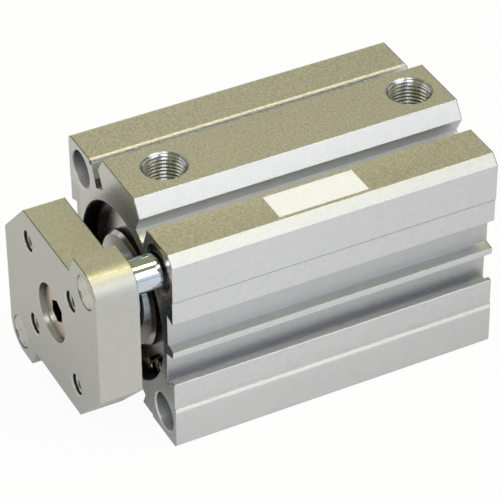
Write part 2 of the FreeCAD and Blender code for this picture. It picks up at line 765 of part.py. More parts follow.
def make_guides():
    """Rod, wiper and two bushes in each guide corner."""
    bodies = []
    for corner, sign in (("upper", "1"), ("lower", "-1")):
        pieces = [make_guide_rod(f"guide_rod_{corner}"), make_guide_wiper(f"guide_wiper_{corner}")]
        for place, start in (("front", "front_bush_start"), ("rear", "rear_bush_start")):
            pieces.append(make_tube(f"guide_bush_{corner}_{place}",
                                    "guide_radius + running_clearance", "guide_hole_radius",
                                    start, start + " + guide_bush_length"))
        for piece in pieces:
            place_in_corner(piece, sign)
        bodies += pieces
    return bodies


def check(bodies):
    """Stop if any feature failed or any piece is not one sound solid."""
    failed = [item.Name for item in doc.Objects if {"Invalid", "Error"} & set(item.State)]
    if failed:
        raise RuntimeError("failed features: " + ", ".join(failed))
    for body in bodies:
        if body.Shape.isNull() or not body.Shape.isValid() or len(body.Shape.Solids) != 1:
            raise RuntimeError("unsound piece: " + body.Label)


front_gasket = "seat_end - gasket_rear_wall - gasket_groove_width / 2"
rear_gasket = "rear_seat_start + gasket_rear_wall + gasket_groove_width / 2"
pieces = [
    make_body(),
    make_rod_cover(),
    make_rear_cover(),
    make_gasket("rod_cover_gasket", front_gasket),
    make_gasket("rear_cover_gasket", rear_gasket),
    make_retaining_ring("front_retaining_ring", "ring_inset"),
    make_retaining_ring("rear_retaining_ring", "rear_cover_end"),
    make_rod_packing(),
    make_tube("rod_bush", "rod_radius + running_clearance", "rod_bush_radius",
              "packing_end", "rod_cover_end - bush_end_gap"),
    make_tube("front_bumper", "bumper_inner", "bumper_outer",
              "rod_cover_end - bumper_sunk", "rod_cover_end + bumper_proud"),
    make_tube("rear_bumper", "bumper_inner", "bumper_outer",
              "rear_cover_start - bumper_proud", "rear_cover_start + bumper_sunk"),
    make_piston(),
    make_piston_seal(),
    make_tube("piston_wear_ring", "piston_radius - wear_ring_depth", "sliding_radius",
              "wear_start", "wear_start + wear_ring_width"),
    make_tube("piston_magnet", "piston_radius - magnet_depth", "piston_radius - magnet_cover",
              "magnet_start", "magnet_start + magnet_width"),
    make_tube("spigot_ring", "spigot_radius", "spigot_radius + spigot_ring_width",
              "piston_front", "piston_front + spigot_ring_length"),
    make_piston_rod(),
    make_tool_plate(),
    make_centre_screw(),
    make_label(),
]
pieces += make_guides()
doc.recompute()
check(pieces)

os.makedirs("parts", exist_ok=True)
for piece in pieces:
    piece.Shape.exportStep(f"parts/{piece.Label}.step")
print(f"{len(pieces)} pieces written, body length {number('body_length'):.2f} mm")
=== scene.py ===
import bpy
import json
import math
from mathutils import Matrix, Vector


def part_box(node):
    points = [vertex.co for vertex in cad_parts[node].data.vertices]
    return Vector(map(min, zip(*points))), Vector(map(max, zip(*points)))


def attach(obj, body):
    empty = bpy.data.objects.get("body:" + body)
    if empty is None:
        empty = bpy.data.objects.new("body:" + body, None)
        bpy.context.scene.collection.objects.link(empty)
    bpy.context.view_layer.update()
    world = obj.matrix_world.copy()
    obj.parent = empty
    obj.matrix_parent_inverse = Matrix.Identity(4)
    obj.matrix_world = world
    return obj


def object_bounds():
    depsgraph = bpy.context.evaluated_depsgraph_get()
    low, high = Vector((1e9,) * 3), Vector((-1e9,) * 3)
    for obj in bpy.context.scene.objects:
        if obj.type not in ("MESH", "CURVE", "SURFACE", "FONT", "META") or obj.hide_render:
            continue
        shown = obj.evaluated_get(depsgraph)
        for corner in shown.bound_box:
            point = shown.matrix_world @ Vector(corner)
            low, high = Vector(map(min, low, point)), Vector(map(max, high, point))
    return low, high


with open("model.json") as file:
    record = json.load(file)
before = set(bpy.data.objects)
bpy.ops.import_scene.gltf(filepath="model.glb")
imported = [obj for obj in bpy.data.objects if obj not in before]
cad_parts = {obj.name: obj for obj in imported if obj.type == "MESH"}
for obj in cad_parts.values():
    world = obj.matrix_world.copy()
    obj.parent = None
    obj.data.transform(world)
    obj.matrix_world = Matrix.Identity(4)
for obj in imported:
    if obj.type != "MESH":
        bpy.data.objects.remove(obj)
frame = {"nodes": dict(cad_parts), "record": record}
cadLow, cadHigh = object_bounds()
nodes = frame["nodes"]
mounts = {mount["name"]: mount for mount in frame["record"]["mounts"]}
mm = 0.001
print("frame loaded:", len(nodes), "nodes")


def boxCentre(node):
    low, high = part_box(node)
    return (low + high) / 2


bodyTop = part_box("body")[1].z
plateLow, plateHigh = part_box("tool_plate")
upperGuide = boxCentre("guide_rod_upper")
lowerGuide = boxCentre("guide_rod_lower")

cameraSettings = {
    "azimuth": 63.022,          # degrees, from straight in front towards the right-hand side
    "elevation": 37.709,
    "roll": -0.463,
    "distance": 0.66871,
    "focalLength": 213.81,      # millimetres, and so is the sensor
    "sensor": 36,
    "middle": (0, 0.04, 0),     # near the middle of the body's length
    "aimRight": -0.00740,       # how far beside and above it the camera aims
    "aimUp": -0.00250,
    "clip": (0.01, 20),
}


def makeCamera(settings):
    azimuth = math.radians(settings["azimuth"])
    elevation = math.radians(settings["elevation"])
    back = Vector((math.sin(azimuth) * math.cos(elevation),
                   -math.cos(azimuth) * math.cos(elevation), math.sin(elevation)))
    right = Vector((math.cos(azimuth), math.sin(azimuth), 0))
    up = back.cross(right)
    turn = Matrix.Rotation(math.radians(settings["roll"]), 3, back)
    right, up = turn @ right, turn @ up
    aim = Vector(settings["middle"]) + right * settings["aimRight"] + up * settings["aimUp"]
    data = bpy.data.cameras.new("camera")
    data.sensor_width = settings["sensor"]
    data.lens = settings["focalLength"]
    data.clip_start, data.clip_end = settings["clip"]
    camera = bpy.data.objects.new("camera", data)
    bpy.context.scene.collection.objects.link(camera)
    camera.matrix_world = Matrix.Translation(aim + back * settings["distance"]) @ Matrix(
        (right, up, back)).transposed().to_4x4()
    bpy.context.scene.camera = camera


makeCamera(cameraSettings)
print("camera set")


def toLinear(hexColour):
    channels = [int(hexColour[i:i + 2], 16) / 255 for i in (1, 3, 5)]
    linear = [c / 12.92 if c <= 0.04045 else ((c + 0.055) / 1.055) ** 2.4 for c in channels]
    return (*linear, 1.0)


def addNode(tree, kind, inputs=(), output=0, **settings):
    # inputs are sockets to link or values to set, in order or by name; gives back one output,
    # or the node itself where output is None
    node = tree.nodes.new("ShaderNode" + kind)
    for key, value in settings.items():
        setattr(node, key, value)
    pairs = inputs.items() if isinstance(inputs, dict) else enumerate(inputs)
    for key, value in pairs:
        if isinstance(value, bpy.types.NodeSocket):
            tree.links.new(value, node.inputs[key])
        else:
            node.inputs[key].default_value = value
    return node if output is None else node.outputs[output]


def clearTree(owner):
    owner.use_nodes = True
    owner.node_tree.nodes.clear()
    return owner.node_tree


def setSurface(tree, inputs):
    # the shader in which every finish ends
    shader = addNode(tree, "BsdfPrincipled", inputs)
    addNode(tree, "OutputMaterial", (shader,), output=None)


def dress(nodeName, material):
    data = nodes[nodeName].data
    data.materials.clear()
    data.materials.append(material)


noiseSpan = (0.3, 0.7)          # noise seldom leaves this, so it is stretched from here
faceLimit = 0.9                 # a face looks along an axis where its normal is past this


def grain(tree, size, detail, stretch=(1, 1, 1)):
    # clouds about so many millimetres across, which stay with the piece when it moves
    point = addNode(tree, "TexCoord", output="Object")
    stretched = addNode(tree, "VectorMath", (point, stretch), operation="MULTIPLY")
    return addNode(tree, "TexNoise", {"Vector": stretched, "Scale": 1 / (size * mm),
                                      "Detail": detail, "Roughness": 0.6})


def paintOver(tree, base, *coats):
    # lays each coat, a mask and a colour, over what is there; colours are hex or sockets
    for mask, coat in coats:
        under, over = (toLinear(tone) if isinstance(tone, str) else tone
                       for tone in (base, coat))
        base = addNode(tree, "Mix", {0: mask, 6: under, 7: over}, output=2, data_type="RGBA")
    return base


def overlap(tree, *masks):
    shared = masks[0]
    for mask in masks[1:]:
        shared = addNode(tree, "Math", (shared, mask), operation="MULTIPLY")
    return shared


def band(tree, value, low, high):
    return overlap(tree, addNode(tree, "Math", (value, low), operation="GREATER_THAN"),
                   addNode(tree, "Math", (value, high), operation="LESS_THAN"))


def axisDistance(tree, axis, first, second):
    # how far the point lies from a line along Y at (x, z), or along Z at (x, y)
    keep, centre = (((1, 0, 1), (first, 0, second)) if axis == "Y"
                    else ((1, 1, 0), (first, second, 0)))
    point = addNode(tree, "TexCoord", output="Object")
    flat = addNode(tree, "VectorMath", (point, keep), operation="MULTIPLY")
    return addNode(tree, "VectorMath", (flat, centre), output="Value", operation="DISTANCE")


def holeMask(tree, holes, slack, axis="Y"):
    # one inside any of the holes, given as (first, second, radius) in metres, and a little
    # way round them, in millimetres
    inside = 0.0
    for first, second, radius in holes:
        hit = addNode(tree, "Math", (axisDistance(tree, axis, first, second),
                                     radius + slack * mm), operation="LESS_THAN")
        inside = addNode(tree, "Math", (inside, hit), operation="MAXIMUM")
    return inside


bodyFinish = {
    "light": "#DCDEE3",         # clear anodising over blasted metal: pale silver
    "dark": "#CCCED3",
    "speckle": ("#C0C0BB", "#E6E5E0"),  # top faces lie open to the blasting and sparkle more
    "speckleFrom": 19,          # the floors of the side slots lie lower and stay smooth
    "grain": 0.50,              # blasting pits are 0.05 mm, drawn this coarse so that they show
    "pitDepth": 0.10,
    "patch": 2.4,               # cloudy patches where the blast lingered
    "roughness": (0.42, 0.52),
    "cut": ("#B7B7B5", "#C3C3C1"),      # sawn and milled ends: smoother and darker
    "cutRoughness": (0.24, 0.33),
    "back": "#AEAEAA",          # the rear end, darker
    "drilled": ("#4A4D53", "#F4F6FA"),  # shade gathers under the top of a hole
    "holeRoughness": (0.34, 0.44),
    "dullHoles": 0.3,           # drilled walls keep a matt oxide skin
    "bore": "#2C2C2B",          # hard anodised bore, with painted shade of its deep mouth
    "rim": "#E2E3E3",           # bare metal where a hole's edge was broken, and a painted highlight on that rim
    "edgeRound": 0.20,          # worn edges
    "shaded": (                 # from the middle, height, how much darker
        ((21, 25.45), (-14, 14), 0.16),         # painted shade in the side slots
        ((25.5, 30), (14.15, 14.6), 0.42),      # painted shade under the step where a side's relief starts
    ),
    "fades": (("Z", -2, -26, 0.12), ("Y", 20, 79.5, 0.07)),     # painted shade, darker towards the foot and the rear end
    "slotFloorTone": ((11.2, 14.5), (20.0, 22.2), "#7A6F60"),            # browner floors of the top slots
}
plateFinish = {
    "light": "#CACBCA",         # the same finish on plainer bar, a little greyer
    "dark": "#BBBCBA",
    "speckle": ("#CACAC6", "#E4E4E0"),
    "speckleFrom": -30,
    "grain": 0.42,
    "pitDepth": 0.07,
    "patch": 3.0,
    "roughness": (0.42, 0.50),
    "cut": ("#B2B2AE", "#BBBBB7"),
    "cutRoughness": (0.34, 0.42),
    "back": "#63635F",          # painted shade of the narrow gap between the plate's back and the body
    "drilled": ("#6A6E74", "#C2C5C6"),
    "holeRoughness": (0.28, 0.38),
    "dullHoles": 0.3,
    "bore": "#474B51",          # tapped holes, full of shade and cutting oil
    "rim": "#CDCEC9",
    "edgeRound": 0.20,
}
edgeLook = {
    "reach": 0.48,              # how far the painted dark line and the rims at an edge reach onto the faces beside it
    "tilt": (0.22, 0.95),       # how far a rounded normal turns towards the end
    "upwards": 0.3,             # and upwards, where a top face meets the end in a painted dark line
    # painted dark reflection along the top edges
    "line": "#3C3C37",
    "strength": 0.92,
    "samples": 6,
}
blasting = {
    "patchShare": 0.2,          # of the cloudy patches in the colour, the rest is fine grain
    "sparkleSize": 1.1,         # of the grain
    "pitStrength": 0.7,
    "cutAway": 0.93,            # share of the pits that cutting takes off
    "holeLight": (-0.5, 0.8),   # how far a hole's wall looks upwards, from dark to light
}
# how far past a hole's radius its walls, a port's, the dark bore and the bright rim reach
holeSlack = {"wall": 0.25, "port": 0.38, "bore": 0.1, "rim": 0.9}


def roundedNormal(tree, settings, softEdges, place):
    # edges look softly rounded, and the normal leans over across a broad round from the die
    rounded = addNode(tree, "Bevel", {"Radius": settings["edgeRound"] * mm},
                      samples=edgeLook["samples"])
    for edge in softEdges:
        lean = addNode(tree, "MapRange", (place[edge["along"]], edge["flat"], edge["round"],
                                          0, edge["lean"]), interpolation_type="SMOOTHSTEP")
        near = overlap(tree, lean, band(tree, place["X"], *edge["x"]),
                       band(tree, place["Z"], *edge["z"]))
        leaning = addNode(tree, "Mix", {0: near, 4: rounded, 5: edge["towards"]}, output=1,
                          data_type="VECTOR")
        rounded = addNode(tree, "VectorMath", (leaning,), operation="NORMALIZE")
    return rounded


def profileShade(tree, settings, place, wall):
    # coats for the browner floors of the top slots, and painted shade in the side slots, under
    # the side's step, towards the foot and towards the rear end
    across = addNode(tree, "Math", (place["X"],), operation="ABSOLUTE")
    paintedShade = 0.0
    # painted shade in the side slots and under the side's step
    for reach, heights, depth in settings["shaded"]:
        spot = overlap(tree, band(tree, across, *reach), band(tree, place["Z"], *heights))
        paintedShade = addNode(tree, "Math", (spot, depth, paintedShade), operation="MULTIPLY_ADD")
    # painted shade, darker towards the foot and the rear end
    for axis, start, stop, depth in settings["fades"]:
        fade = addNode(tree, "MapRange", (place[axis], start, stop, 0, depth))
        paintedShade = addNode(tree, "Math", (paintedShade, fade), operation="ADD")
    reach, heights, oil = settings["slotFloorTone"]
    slotFloorTone = overlap(tree, band(tree, across, *reach), band(tree, place["Z"], *heights), wall)
    return [(slotFloorTone, oil), (paintedShade, "#000000")]


def greaseMask(tree, settings):
    # one on small lumps of grease round part of a rod
    point = addNode(tree, "TexCoord", output="Object")
    across = addNode(tree, "SeparateXYZ", (point,))
    ring = band(tree, axisDistance(tree, "Y", settings["x"], settings["z"]), *settings["ring"])
    side = addNode(tree, "Math", (across, settings["x"] + settings["from"]),
                   operation="GREATER_THAN")
    spots = addNode(tree, "Math", (grain(tree, settings["lump"], 1), settings["sparse"]),
                    operation="GREATER_THAN")
    return overlap(tree, ring, side, spots)


def anodisedAluminium(name, settings, holes, bore, ports=(), softEdges=(), grease=None):
    # Blasted, then clear anodised: a soft sheen with a fine glittering grain
    material = bpy.data.materials.new(name)
    tree = clearTree(material)
    normal = addNode(tree, "NewGeometry", output="Normal")
    facing = addNode(tree, "SeparateXYZ", (normal,), output=None).outputs
    point = addNode(tree, "VectorMath", {0: addNode(tree, "TexCoord", output="Object"),
                                         "Scale": 1 / mm}, operation="SCALE")
    place = addNode(tree, "SeparateXYZ", (point,), output=None).outputs

    # which faces are ends, walls, tops and holes
    endways = addNode(tree, "Math", (facing["Y"],), operation="ABSOLUTE")
    endFace = addNode(tree, "Math", (endways, faceLimit), operation="GREATER_THAN")
    wall = addNode(tree, "Math", (1.0, endFace), operation="SUBTRACT")
    backFace = addNode(tree, "Math", (facing["Y"], faceLimit), operation="GREATER_THAN")
    flatTop = addNode(tree, "Math", (facing["Z"], faceLimit), operation="GREATER_THAN")
    onTop = overlap(tree, flatTop, addNode(tree, "Math", (
        place["Z"], settings["speckleFrom"]), operation="GREATER_THAN"))
    inPort = overlap(tree, holeMask(tree, ports, holeSlack["port"], "Z"),
                     addNode(tree, "Math", (facing["Z"], faceLimit), operation="LESS_THAN"))
    drilled = addNode(tree, "Math", (holeMask(tree, holes, holeSlack["wall"]), inPort),
                      operation="MAXIMUM")
    drilledWall = overlap(tree, drilled, wall)
    smooth = addNode(tree, "Math", (endFace, drilled), operation="MAXIMUM")

    # a painted dark reflection where a top face meets a sawn end, and bright rims round the
    # holes, bare metal with a painted highlight
    edgeBevel = addNode(tree, "Bevel", {"Radius": edgeLook["reach"] * mm},
                   samples=edgeLook["samples"])
    turned = addNode(tree, "SeparateXYZ", (edgeBevel,), output=None).outputs
    tilted = addNode(tree, "Math", (turned["Y"],), operation="ABSOLUTE")
    endEdge = band(tree, tilted, *edgeLook["tilt"])
    upwards = addNode(tree, "Math", (turned["Z"], edgeLook["upwards"]),
                      operation="GREATER_THAN")
    clear = addNode(tree, "Math", (1.0, holeMask(tree, holes + bore, holeSlack["rim"])),
                    operation="SUBTRACT")
    topLine = overlap(tree, endEdge, upwards, clear, edgeLook["strength"])
    rim = overlap(tree, endEdge, holeMask(tree, holes, holeSlack["rim"]))

    # the grain, in colour
    fine = grain(tree, settings["grain"], 3)
    fineShare = addNode(tree, "MapRange", (fine, *noiseSpan, 0, 1))
    patchShare = addNode(tree, "MapRange", (grain(tree, settings["patch"], 2), *noiseSpan, 0, 1))
    sparks = grain(tree, settings["grain"] * blasting["sparkleSize"], 2)
    sparkle = addNode(tree, "MapRange", (sparks, *noiseSpan, 0, 1))
    share = addNode(tree, "Mix", {0: blasting["patchShare"], 2: fineShare, 3: patchShare})
    lower = addNode(tree, "MapRange", (facing["Z"], *blasting["holeLight"], 0, 1))
    coats = [(share, settings["light"]),
             (onTop, paintOver(tree, settings["speckle"][0], (sparkle, settings["speckle"][1]))),
             (smooth, paintOver(tree, settings["cut"][0], (fineShare, settings["cut"][1])))]
    if "shaded" in settings:
        coats += profileShade(tree, settings, place, wall)
    # the back face: painted shade of the gap on the plate, and a darker rear end on the body
    coats += [(backFace, settings["back"]),
              (drilledWall, paintOver(tree, settings["drilled"][0],
                                      (lower, settings["drilled"][1]))),
              # painted shade in the bore's mouth, over the hard anodised colour
              (overlap(tree, holeMask(tree, bore, holeSlack["bore"]), wall), settings["bore"]),
              # painted dark reflection on the top edges, and a painted highlight on the hole rims
              (topLine, edgeLook["line"]), (rim, settings["rim"])]
    metallic = addNode(tree, "Math", (drilledWall, -settings["dullHoles"], 1.0),
                       operation="MULTIPLY_ADD")
    if grease:
        frontFace = addNode(tree, "Math", (facing["Y"], -faceLimit), operation="LESS_THAN")
        soiled = overlap(tree, greaseMask(tree, grease), frontFace)
        coats.append((soiled, grease["colour"]))
        metallic = overlap(tree, metallic, addNode(tree, "Math", (1.0, soiled),
                                                   operation="SUBTRACT"))

    # and in the sheen and the pits
    blasted, cut, hole = (addNode(tree, "MapRange", (fine, *noiseSpan, *settings[key]))
                          for key in ("roughness", "cutRoughness", "holeRoughness"))
    cutOrHole = addNode(tree, "Mix", {0: drilled, 2: cut, 3: hole})
    pits = overlap(tree, fine, addNode(tree, "Math", (smooth, -blasting["cutAway"], 1.0),
                                       operation="MULTIPLY_ADD"))
    setSurface(tree, {
        "Base Color": paintOver(tree, settings["dark"], *coats),
        "Metallic": metallic,
        "Roughness": addNode(tree, "Mix", {0: smooth, 2: blasted, 3: cutOrHole}),
        "Normal": addNode(tree, "Bump", {
            "Height": pits, "Strength": blasting["pitStrength"],
            "Distance": settings["pitDepth"] * mm,
            "Normal": roundedNormal(tree, settings, softEdges, place)})})
    return material


turning = {
    "groove": 0.12,             # feed of the lathe tool, drawn as coarse as it shows
    "axis": "Y",
    "streak": 0.6,              # how far the grooves draw a highlight out
    "streakTurn": 0.0,          # share of a full turn
    "socket": None,
    "grooveStrength": 0.3,
    "grooveDepth": 0.02,
    "blotch": 3.0,              # handling marks
    "blotchShare": 0.4,
}


def turnedMetal(name, **changes):
    # Turned on a lathe: fine rings round the axis, which draw the light out into a fan
    settings = {**turning, **changes}
    material = bpy.data.materials.new(name)
    tree = clearTree(material)
    radius = axisDistance(tree, settings["axis"], 0, 0)
    ring = addNode(tree, "CombineXYZ", (radius,))
    rings = addNode(tree, "TexNoise", {"Vector": ring, "Scale": 1 / (settings["groove"] * mm),
                                       "Detail": 2.0})
    ringShare = addNode(tree, "MapRange", (rings, *noiseSpan, 0, 1))
    blotch = addNode(tree, "MapRange", (grain(tree, settings["blotch"], 2), *noiseSpan, 0, 1))
    share = addNode(tree, "Mix", {0: settings["blotchShare"], 2: ringShare, 3: blotch})
    coats = [(share, settings["light"])]
    if settings["socket"]:
        # painted shade on the walls and floor of a socket, black, broken by specks of bare metal
        socket = settings["socket"]
        point = addNode(tree, "TexCoord", output="Object")
        depth = addNode(tree, "SeparateXYZ", (point,), output="Y")
        coats.append((overlap(
            tree, addNode(tree, "Math", (radius, socket["reach"]), operation="LESS_THAN"),
            addNode(tree, "Math", (depth, socket["from"]), operation="GREATER_THAN"),
            addNode(tree, "Math", (grain(tree, socket["bareSpeck"], 1), socket["bareShare"]),
                    operation="LESS_THAN")), socket["colour"]))
    setSurface(tree, {
        "Base Color": paintOver(tree, settings["dark"], *coats),
        "Metallic": 1.0,
        "Roughness": addNode(tree, "MapRange", (rings, *noiseSpan, *settings["roughness"])),
        "Normal": addNode(tree, "Bump", {"Height": rings, "Strength": settings["grooveStrength"],
                                         "Distance": settings["grooveDepth"] * mm}),
        "Anisotropic": settings["streak"],
        "Anisotropic Rotation": settings["streakTurn"],
        "Tangent": addNode(tree, "Tangent", direction_type="RADIAL", axis=settings["axis"])})
    return material


chromeFinish = {
    "dark": "#BFCAD9",
    "light": "#CDD7E4",
    "roughness": (0.05, 0.09),
    "cloud": 0.5,
    "drawn": (1, 0.12, 1),      # the clouds run along the rod
}


def hardChrome(name, settings):
    # Ground and polished hard chrome: a mirror, a little cloudy along its length
    material = bpy.data.materials.new(name)
    tree = clearTree(material)
    clouds = grain(tree, settings["cloud"], 2, settings["drawn"])
    share = addNode(tree, "MapRange", (clouds, *noiseSpan, 0, 1))
    setSurface(tree, {
        "Base Color": paintOver(tree, settings["dark"], (share, settings["light"])),
        "Metallic": 1.0,
        "Roughness": addNode(tree, "MapRange", (clouds, *noiseSpan, *settings["roughness"]))})
    return material


rolling = {
    "grain": 0.3,               # the crystals are finer, drawn this coarse so that they show
    "pitStrength": 0.2,
    "pitDepth": 0.02,
    "lugs": None,
}


def plainMetal(name, **changes):
    # Rolled or sintered metal: even, with a slight cloudiness
    settings = {**rolling, **changes}
    material = bpy.data.materials.new(name)
    tree = clearTree(material)
    fine = grain(tree, settings["grain"], 3)
    share = addNode(tree, "MapRange", (fine, *noiseSpan, 0, 1))
    coats = [(share, settings["light"])]
    normal = addNode(tree, "NewGeometry", output="Normal")
    if settings["lugs"]:
        lugs = settings["lugs"]
        # the lugs: bare where the pliers grip, and a painted highlight
        coats.append((holeMask(tree, lugs["places"], 0), lugs["colour"]))
        point = addNode(tree, "TexCoord", output="Object")
        for first, second, reach in lugs["places"]:
            # the stamped lugs are domed, so the normal leans outwards from their middle
            offset = addNode(tree, "VectorMath", (point, (first, 0, second)),
                             operation="SUBTRACT")
            steep = lugs["dome"] / reach
            lean = addNode(tree, "VectorMath", (offset, (steep, 0, steep)),
                           operation="MULTIPLY")
            here = addNode(tree, "VectorMath", (lean, holeMask(
                tree, [(first, second, reach)], 0)), operation="MULTIPLY")
            normal = addNode(tree, "VectorMath", (normal, here), operation="ADD")
    setSurface(tree, {
        "Base Color": paintOver(tree, settings["dark"], *coats),
        "Metallic": 1.0,
        "Roughness": addNode(tree, "MapRange", (fine, *noiseSpan, *settings["roughness"])),
        "Normal": addNode(tree, "Bump", {
            "Height": fine, "Strength": settings["pitStrength"],
            "Distance": settings["pitDepth"] * mm,
            "Normal": addNode(tree, "VectorMath", (normal,), operation="NORMALIZE")})})
    return material


moulding = {
    "grain": 0.4,               # the skin of a mould is finer, drawn this coarse so that it shows
    "pitStrength": 0.3,
    "pitDepth": 0.03,
    "grease": None,
}


def softSolid(name, **changes):
    # Rubber, urethane, moulded plastic or film: no metal, a dull skin
    settings = {**moulding, **changes}
    material = bpy.data.materials.new(name)
    tree = clearTree(material)
    fine = grain(tree, settings["grain"], 3)
    share = addNode(tree, "MapRange", (fine, *noiseSpan, 0, 1))
    coats = [(share, settings["light"])]
    if settings["grease"]:
        coats.append((greaseMask(tree, settings["grease"]), settings["grease"]["colour"]))
    setSurface(tree, {
        "Base Color": paintOver(tree, settings["dark"], *coats),
        "Roughness": addNode(tree, "MapRange", (fine, *noiseSpan, *settings["roughness"])),
        "Normal": addNode(tree, "Bump", {"Height": fine, "Strength": settings["pitStrength"],
                                         "Distance": settings["pitDepth"] * mm})})
    return material


def cornerReach(mount):
    # how far a hole of a square pattern lies from the middle, across and up
    return mount["dims"]["pcd_mm"] * mm / 2 / math.sqrt(2)


profilePlaces = {
    "guideHole": 5.8 * mm,      # radius of the holes that the guide rods leave through
    "bore": 21.3 * mm,          # the widest groove inside
    "screwSeat": 7 * mm,
}
softEdges = [{
    # beside the left top slot
    "x": (-16.0, -13.9), "z": (25, 26.5), "along": "X", "flat": -16.0, "round": -14.3,
    "towards": (1, 0, 0), "lean": 0.62}]
for reach in ((25.9, 27), (-27, -25.9)):
    # along the upper edge of each side's foot
    softEdges.append({"x": reach, "z": (-17.2, -14.9), "along": "Z", "flat": -17.2,
                      "round": -15.3, "towards": (0, 0, 1), "lean": 0.5})
wiperGrease = {
    "x": upperGuide.x,
    "z": upperGuide.z,
    "ring": (5.0 * mm, 6.8 * mm),
    "from": -2.5 * mm,          # only this far to the left of the rod's middle
    "lump": 1.3,
    "sparse": 0.48,
    "colour": "#7E5420",
}
screwSocket = {
    "reach": 2.92 * mm,
    "from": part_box("centre_screw")[0].y + 0.15 * mm,
    "bareSpeck": 0.7,
    "bareShare": 0.56,
    # painted shade of the socket
    "colour": "#1B1817",
}
ringLugs = {
    "circle": 18.3 * mm,
    "angles": (-66.5, -49.5),
    "radius": 1.45 * mm,
    "dome": 0.9,
    "colour": "#F0D9B2",        # bared by the pliers, and lightened as a painted highlight
}
ringLugs["places"] = [(ringLugs["circle"] * math.cos(math.radians(angle)),
                       ringLugs["circle"] * math.sin(math.radians(angle)), ringLugs["radius"])
                      for angle in ringLugs["angles"]]

mountPlace = cornerReach(mounts["front_mount_holes"])
mountRadius = mounts["front_mount_holes"]["dims"]["hole_r_mm"] * mm
bodyHoles = [(upperGuide.x, upperGuide.z, profilePlaces["guideHole"]),
             (lowerGuide.x, lowerGuide.z, profilePlaces["guideHole"]),
             (-mountPlace, mountPlace, mountRadius), (mountPlace, -mountPlace, mountRadius)]
ports = [(*mounts[end + "_port"]["pos_m"][:2], mounts[end + "_port"]["dims"]["r_mm"] * mm)
         for end in ("front", "rear")]
loadHoles = []
for loadName, side in (("load_holes_wide", -1), ("load_holes_near", 1)):
    reach = cornerReach(mounts[loadName])
    radius = mounts[loadName]["dims"]["hole_r_mm"] * mm
    loadHoles += [(reach, side * reach, radius), (-reach, -side * reach, radius)]

bodyMetal = anodisedAluminium(
    "anodisedBody", bodyFinish, bodyHoles, [(0, 0, profilePlaces["bore"])], ports, softEdges,
    wiperGrease)
plateMetal = anodisedAluminium(
    "anodisedPlate", plateFinish, [(0, 0, profilePlaces["screwSeat"])] + loadHoles, loadHoles)
finishes = {
    "anodised_body": bodyMetal,
    "anodised_plate": plateMetal,
    # smooth and bright, with faint rings
    "turned_aluminium": turnedMetal("turnedAluminium", light="#CFCDCA", dark="#ABA9A6",
                                    roughness=(0.13, 0.24)),
    "hard_chrome": hardChrome("hardChrome", chromeFinish),
    # a warm tint from the plating
    "plated_steel": turnedMetal("platedScrew", light="#D2C4B8", dark="#AA9D92",
                                roughness=(0.16, 0.28), groove=0.2, socket=screwSocket),
    # blackened in the oil bath
    "spring_steel": plainMetal("springSteel", light="#4C463E", dark="#2F2B26",
                               roughness=(0.22, 0.34), lugs=ringLugs),
    # brown and matt, full of pores
    "bronze": plainMetal("sinteredBronze", light="#A07A4C", dark="#7A5A34",
                         roughness=(0.42, 0.55)),
    # moulded nitrile: black, with a dull skin
    "black_rubber": softSolid("blackRubber", light="#1B1B1B", dark="#0D0D0D",
                              roughness=(0.45, 0.6)),
    # rubber filled with magnet powder: grey-brown and dull
    "magnet_rubber": softSolid("magnetRubber", light="#38342F", dark="#262320",
                               roughness=(0.6, 0.75)),
    # cast urethane: amber, half shiny
    "urethane": softSolid("urethane", light="#A5783C", dark="#8F6428", roughness=(0.35, 0.5)),
    # machined wear plastic: cream and waxy
    "wear_plastic": softSolid("wearPlastic", light="#DBD6C6", dark="#C8C2B0",
                              roughness=(0.4, 0.5)),
    # thin white polyester: nearly smooth, a soft gloss
    "label_film": softSolid("labelFilm", light="#FCFCFA", dark="#F4F4F0",
                            roughness=(0.30, 0.38), grain=0.8, pitDepth=0.006),
}
for part in frame["record"]["subparts"]:
    dress(part["node"], finishes[part["material_slot"]])
# rubber wetted by the grease that the rod carries out
dress("guide_wiper_upper", softSolid("greasedRubber", light="#1B1B1B", dark="#0D0D0D",
                                     roughness=(0.35, 0.5), grease=wiperGrease))
print("finishes on", len(nodes), "nodes")


def newPiece(name, points, faces, material, body):
    mesh = bpy.data.meshes.new(name)
    mesh.from_pydata(points, [], faces)
    mesh.validate()
    mesh.update()
    mesh.materials.append(material)
    piece = bpy.data.objects.new(name, mesh)
    bpy.context.scene.collection.objects.link(piece)
    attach(piece, body)


# lengths of threads and rod ends are in millimetres, and depths run inwards from the mouth
threadShape = {
    "lap": 0.02,                # how far the thread reaches into the wall that carries it
    "root": 0.44,               # half widths, as shares of the pitch
    "crest": 0.07,
    "runOut": 0.5,              # turns over which it rises at either end
    "thinned": 0.3,
}
portThread = {
    "pitch": 0.907,             # 28 threads to the inch
    "height": 0.40,             # crest to root
    "steps": 72,                # points to a turn
    "top": 0.85,                # depth at which the first thread starts
    "bottom": 0.35,
    "mouthFlare": 0.30,         # the cone in the mouth: how far it opens, and its two depths
    "mouthDepth": 0.03,
    "coneDepth": 0.36,
    "leadIn": 0.72,             # depth at which it meets the first crest
    "leadCrest": 0.7,           # and how far in, as a share of the thread's height
    "collar": 0.5,
}
loadThread = {"pitch": 1.0, "height": 0.28, "steps": 36, "top": 0.45, "bottom": 0.4}


def ringAlong(centre, axis, radius, depth, angle):
    # a point on a round wall: axis Z runs down into the body, axis Y back into the plate
    across, up = radius * mm * math.cos(angle), radius * mm * math.sin(angle)
    if axis == "Z":
        return Vector((centre.x + across, centre.y + up, centre.z - depth * mm))
    return Vector((centre.x + across, centre.y + depth * mm, centre.z - up))


